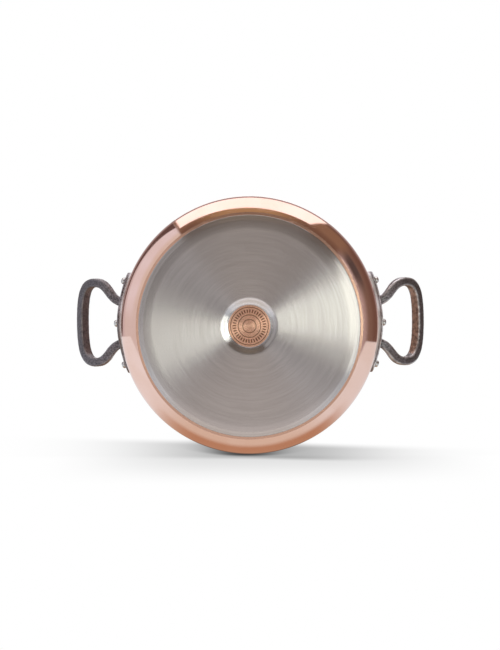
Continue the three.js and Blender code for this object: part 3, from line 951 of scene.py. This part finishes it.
def shade_beside(tree, spot):
    # the shade in front of the lying pot, counted where lines of sight meet the floor it lies on
    share = calc(tree, "DIVIDE", LYING_FLOOR - EYE[1], calc(tree, "SUBTRACT", spot[1], EYE[1]))
    away = calc(tree, "MULTIPLY_ADD", share, BACKDROP - EYE[2], EYE[2])
    across = calc(tree, "MULTIPLY_ADD", calc(tree, "SUBTRACT", spot[0], EYE[0]), share, EYE[0])
    wide = ramp(tree, calc(tree, "ABSOLUTE", calc(tree, "SUBTRACT", across, 0.0146)), 0.18, 0.04)
    fade = calc(tree, "MULTIPLY", wide, ramp(tree, away, -0.22, 0.0, 0.0, FRONT_SHADE))
    edge = calc(tree, "ADD", away, ramp(tree, across, -0.01, 0.08, 0.0, 0.02))
    band = calc(tree, "MULTIPLY", bell(tree, across, 0.016, 0.058),
                ramp(tree, edge, -0.030, 0.004, 0.0, FRONT_BAND))
    front = calc(tree, "ADD", fade, band)
    # the shade behind it and close under it, counted where they pass its rim
    share = (LYING_RIM - EYE[2]) / (BACKDROP - EYE[2])
    across = calc(tree, "MULTIPLY_ADD", spot[0], share, EYE[0] * (1 - share))
    down = calc(tree, "MULTIPLY_ADD", spot[1], share, EYE[1] * (1 - share))
    edge = calc(tree, "MULTIPLY_ADD", across, -0.03, down)
    band = calc(tree, "MULTIPLY", bell(tree, across, 0.0096, 0.0937),
                ramp(tree, edge, 0.0995, 0.1053, 0.0, REAR_BAND))
    sag = calc(tree, "MULTIPLY_ADD", calc(tree, "POWER", across, 2.0), 1.95, down)
    close = calc(tree, "MULTIPLY", bell(tree, across, -0.0063, 0.0266),
                 ramp(tree, sag, 0.1140, 0.1114, 0.0, CONTACT_SHADE))
    rear = calc(tree, "ADD", band, close)
    nearer = ramp(tree, away, 0.014, -0.014)
    return calc(tree, "MULTIPLY_ADD", nearer, calc(tree, "SUBTRACT", front, rear), rear)


def white_sheet(name, half, start, end, level, shade):
    mesh = bpy.data.meshes.new(name)
    mesh.from_pydata(
        [(-half, start, level), (half, start, level), (half, end, level), (-half, end, level)],
        [], [(0, 1, 2, 3)])
    mesh.materials.append(sheet_finish(name + "_white", shade))
    sheet = place_mesh(name, mesh)
    sheet.visible_diffuse = False
    sheet.visible_glossy = False
    sheet.visible_transmission = False
    sheet.visible_shadow = False


white_sheet("stand_floor", FLOOR_HALF, -FLOOR_HALF, FLOOR_HALF, STAND_FLOOR, shade_under)
white_sheet("backdrop", BACKDROP_HALF, BACKDROP_LOW, BACKDROP_HIGH, BACKDROP, shade_beside)


# Studio light
# A large soft light over the lying pot, a smaller one at the right of the camera, a pale wall at the
# left and a dark one at the right, as their reflections in the copper and the steel show.

LEFT_WALL_FAR = (0.77, 0.80, 0.90)
LEFT_WALL_NEAR = (0.70, 0.68, 0.66)
LEFT_WALL_LOW = (0.67, 0.66, 0.69)
LEFT_WALL_BACK = (0.61, 0.58, 0.63)
RIGHT_WALL_BACK = (0.163, 0.101, 0.083)
RIGHT_WALL_FAR = (0.207, 0.147, 0.123)
RIGHT_WALL_NEAR = (0.425, 0.37, 0.387)
RIGHT_WALL_PATCH = (0.094, 0.078, 0.079)
DIM_LEFT = (0.42, 0.39, 0.38)
DIM_RIGHT = (0.46, 0.43, 0.415)
DIM_UPPER_LEFT = (0.17, 0.15, 0.145)
DIM_UPPER_RIGHT = (0.34, 0.31, 0.30)
CAMERA_LEFT = (0.57, 0.55, 0.55)
CAMERA_RIGHT = (0.53, 0.52, 0.51)
ROOM_BEHIND = (0.75, 0.75, 0.76)
CEILING_NEAR = (0.17, 0.108, 0.08)
CEILING_FAR = (0.252, 0.17, 0.12)
CEILING_MIDDLE = (0.414, 0.295, 0.167)
CEILING_FRONT = (0.175, 0.145, 0.123)
LIGHT_EDGE = (0.123, 0.083, 0.079)
FLOOR_LEFT = (0.83, 0.895, 0.965)
FLOOR_RIGHT = (0.765, 0.81, 0.85)
FLOOR_CLOSE = (0.69, 0.635, 0.57)
FLOOR_FRONT = (1.55, 1.5, 1.48)
FLOOR_SHADE = (0.494, 0.309, 0.207)
FLOOR_CONTACT = (0.197, 0.129, 0.10)
SOFT_LIGHT = (1.5, 1.42, 1.46)
WALL_TURN = (0.36, 0.30, 0.31)
SIDE_LIGHT_OUTER = (3.0, 3.15, 2.9)
SIDE_LIGHT_INNER = (4.5, 4.83, 4.34)


def studio_light():
    world = bpy.data.worlds.new("studio")
    bpy.context.scene.world = world
    world.use_nodes = True
    tree = world.node_tree
    tree.nodes.clear()
    way = axes_of(tree, put(tree, "ShaderNodeTexCoord").outputs["Generated"])
    # directions are counted from the camera's mirror image in the flat base
    right = calc(tree, "ADD", way[0], 0.008)
    up = calc(tree, "SUBTRACT", 0.043, way[1])
    near = calc(tree, "MULTIPLY", way[2], -1.0)
    below = calc(tree, "MULTIPLY", up, -1.0)

    def rise(value, low, high):
        return ramp(tree, value, low, high)

    def both(*masks):
        made = masks[0]
        for mask in masks[1:]:
            made = calc(tree, "MULTIPLY", made, mask)
        return made

    def between(value, low, high, soft):
        return both(rise(value, low - soft, low + soft), rise(value, high + soft, high - soft))

    def ratio(value, base, least=0.001):
        return calc(tree, "DIVIDE", value, calc(tree, "MAXIMUM", base, least))

    across_up = ratio(right, up)
    # the left wall is pale and cool, the right one dark and lighter towards the camera
    left_wall = tint(tree, rise(near, 0.5, 0.85), LEFT_WALL_FAR, LEFT_WALL_NEAR)
    left_wall = tint(tree, rise(up, 0.22, 0.02), left_wall, LEFT_WALL_LOW)
    left_wall = tint(tree, rise(near, -0.1, -0.4), left_wall, LEFT_WALL_BACK)
    right_wall = tint(tree, rise(near, -0.35, 0.4), RIGHT_WALL_BACK, RIGHT_WALL_FAR)
    right_wall = tint(tree, rise(near, 0.4, 0.88), right_wall, RIGHT_WALL_NEAR)
    light = tint(tree, rise(right, -0.12, 0.12), left_wall, right_wall)
    patch = both(between(ratio(up, right), 0.36, 0.74, 0.14), rise(near, 0.86, 0.70),
                 rise(near, 0.1, 0.35))
    light = tint(tree, patch, light, RIGHT_WALL_PATCH)
    # round the camera the room is dim, most so above it
    dim = tint(tree, rise(right, -0.06, 0.06), DIM_LEFT, DIM_RIGHT)
    upper_left = both(rise(right, 0.0, -0.05), rise(up, 0.0, 0.04), rise(near, 0.994, 0.985))
    dim = tint(tree, upper_left, dim, DIM_UPPER_LEFT)
    upper_right = both(rise(right, 0.0, 0.05), rise(up, 0.02, 0.06), rise(near, 0.992, 0.98))
    dim = tint(tree, upper_right, dim, DIM_UPPER_RIGHT)
    behind_camera = tint(tree, rise(right, -0.03, 0.03), CAMERA_LEFT, CAMERA_RIGHT)
    dim = tint(tree, rise(near, 0.991, 0.996), dim, behind_camera)
    light = tint(tree, rise(near, 0.88, 0.95), light, dim)
    # the room behind the pot is pale
    light = tint(tree, rise(near, -0.72, -0.85), light, ROOM_BEHIND)
    # between the camera and the soft light the ceiling is dark and warm
    ceiling = tint(tree, rise(near, 0.86, 0.40), CEILING_NEAR, CEILING_FAR)
    ceiling = tint(tree, rise(calc(tree, "ABSOLUTE", across_up), 0.6, 0.1), ceiling, CEILING_MIDDLE)
    ceiling = tint(tree, rise(near, 0.86, 0.91), ceiling, CEILING_FRONT)
    ends = calc(tree, "MAXIMUM", rise(across_up, 0.85, 0.7), rise(near, -0.55, -0.30))
    over = both(rise(across_up, -0.76, -0.72), rise(across_up, 1.45, 1.1), rise(up, 0.0, 0.03), ends)
    light = tint(tree, over, light, ceiling)
    # a dark edge between the left wall and the soft light
    lean = calc(tree, "POWER", ratio(up, calc(tree, "MULTIPLY", right, -1.0)), 2.0)
    edge = both(rise(calc(tree, "MULTIPLY_ADD", lean, -0.38, near), -0.50, -0.58),
                rise(near, -0.90, -0.82), rise(right, -0.1, -0.2), rise(across_up, -0.73, -0.75),
                rise(up, -0.1, 0.0))
    light = tint(tree, edge, light, LIGHT_EDGE)
    # the floor, and the warm shade that the pot throws on it
    side = ratio(right, below)
    table = both(rise(side, -12.6, -11.8), rise(side, 7.6, 7.2), rise(ratio(near, below), 7.5, 5.0),
                 rise(below, 0.0, 0.02))
    floor = tint(tree, rise(right, -0.4, 0.5), FLOOR_LEFT, FLOOR_RIGHT)
    light = tint(tree, table, light, floor)
    close = both(rise(side, -1.5, -0.5), rise(side, 1.0, 0.2), rise(below, 0.05, 0.1), table)
    light = tint(tree, close, light, FLOOR_CLOSE)
    front = both(between(side, -2.4, 1.2, 0.5), rise(near, 0.89, 0.94), table)
    light = tint(tree, front, light, FLOOR_FRONT)
    shade = both(between(side, -0.85, 0.95, 0.4), rise(near, 0.57, 0.0), rise(below, 0.0, 0.2))
    light = tint(tree, shade, light, FLOOR_SHADE)
    contact = both(between(side, -0.5, 0.5, 0.12), rise(near, -0.76, -0.90), rise(below, 0.0, 0.1))
    light = tint(tree, contact, light, FLOOR_CONTACT)
    # the soft light overhead
    box = both(rise(across_up, -0.715, -0.685),
               rise(calc(tree, "MULTIPLY_ADD", near, 0.125, across_up), 0.70, 0.665),
               rise(calc(tree, "MULTIPLY_ADD", across_up, -0.2, ratio(near, up)), 0.76, 0.69),
               rise(up, 0.12, 0.16))
    light = tint(tree, box, light, SOFT_LIGHT)
    # a thin dark line where the wall turns away above
    line = both(rise(near, -0.66, -0.74), rise(near, -0.96, -0.93), rise(up, 0.0, 0.1))
    light = tint(tree, line, light, WALL_TURN)
    # the smaller light at the right of the camera, in two panels
    reach = ratio(right, near)
    fan = ratio(up, right, 0.01)
    ahead = rise(near, 0.5, 0.6)
    outer = both(between(reach, 0.3, 0.465, 0.03), between(fan, -0.45, 0.71, 0.06), ahead)
    light = tint(tree, outer, light, SIDE_LIGHT_OUTER)
    inner = both(between(reach, 0.12, 0.29, 0.015), between(fan, -0.18, 0.53, 0.05), ahead)
    light = tint(tree, inner, light, SIDE_LIGHT_INNER)

    room = put(tree, "ShaderNodeBackground", {"Color": light})
    plain = put(tree, "ShaderNodeBackground", {"Color": (1.0, 1.0, 1.0, 1.0)})
    seen = put(tree, "ShaderNodeLightPath").outputs["Is Camera Ray"]
    mixed = put(tree, "ShaderNodeMixShader", {0: seen, 1: room.outputs[0], 2: plain.outputs[0]})
    out = put(tree, "ShaderNodeOutputWorld")
    tree.links.new(mixed.outputs[0], out.inputs["Surface"])


studio_light()
bpy.context.scene.view_settings.view_transform = "Standard"


# Camera
# It looks at the base from the front, a little above the lying pot's axis, with a long lens. The
# photo's up is the pot's front, so up in the picture is -Y.

LENS = 134.36
AIM = (0.00047, -0.00094, 0.0)
ROLL = math.radians(0.28)

camera_data = bpy.data.cameras.new("camera")
camera_data.lens = LENS
camera_data.clip_end = 50.0
camera = bpy.data.objects.new("camera", camera_data)
bpy.context.scene.collection.objects.link(camera)
station = Vector(EYE)
forward = (Vector(AIM) - station).normalized()
across = forward.cross(Vector((0.0, -1.0, 0.0))).normalized()
upward = across.cross(forward)
level = across * math.cos(ROLL) - upward * math.sin(ROLL)
upward = across * math.sin(ROLL) + upward * math.cos(ROLL)
camera.matrix_world = Matrix((
    (level.x, upward.x, -forward.x, station.x),
    (level.y, upward.y, -forward.y, station.y),
    (level.z, upward.z, -forward.z, station.z),
    (0.0, 0.0, 0.0, 1.0)))
bpy.context.scene.camera = camera
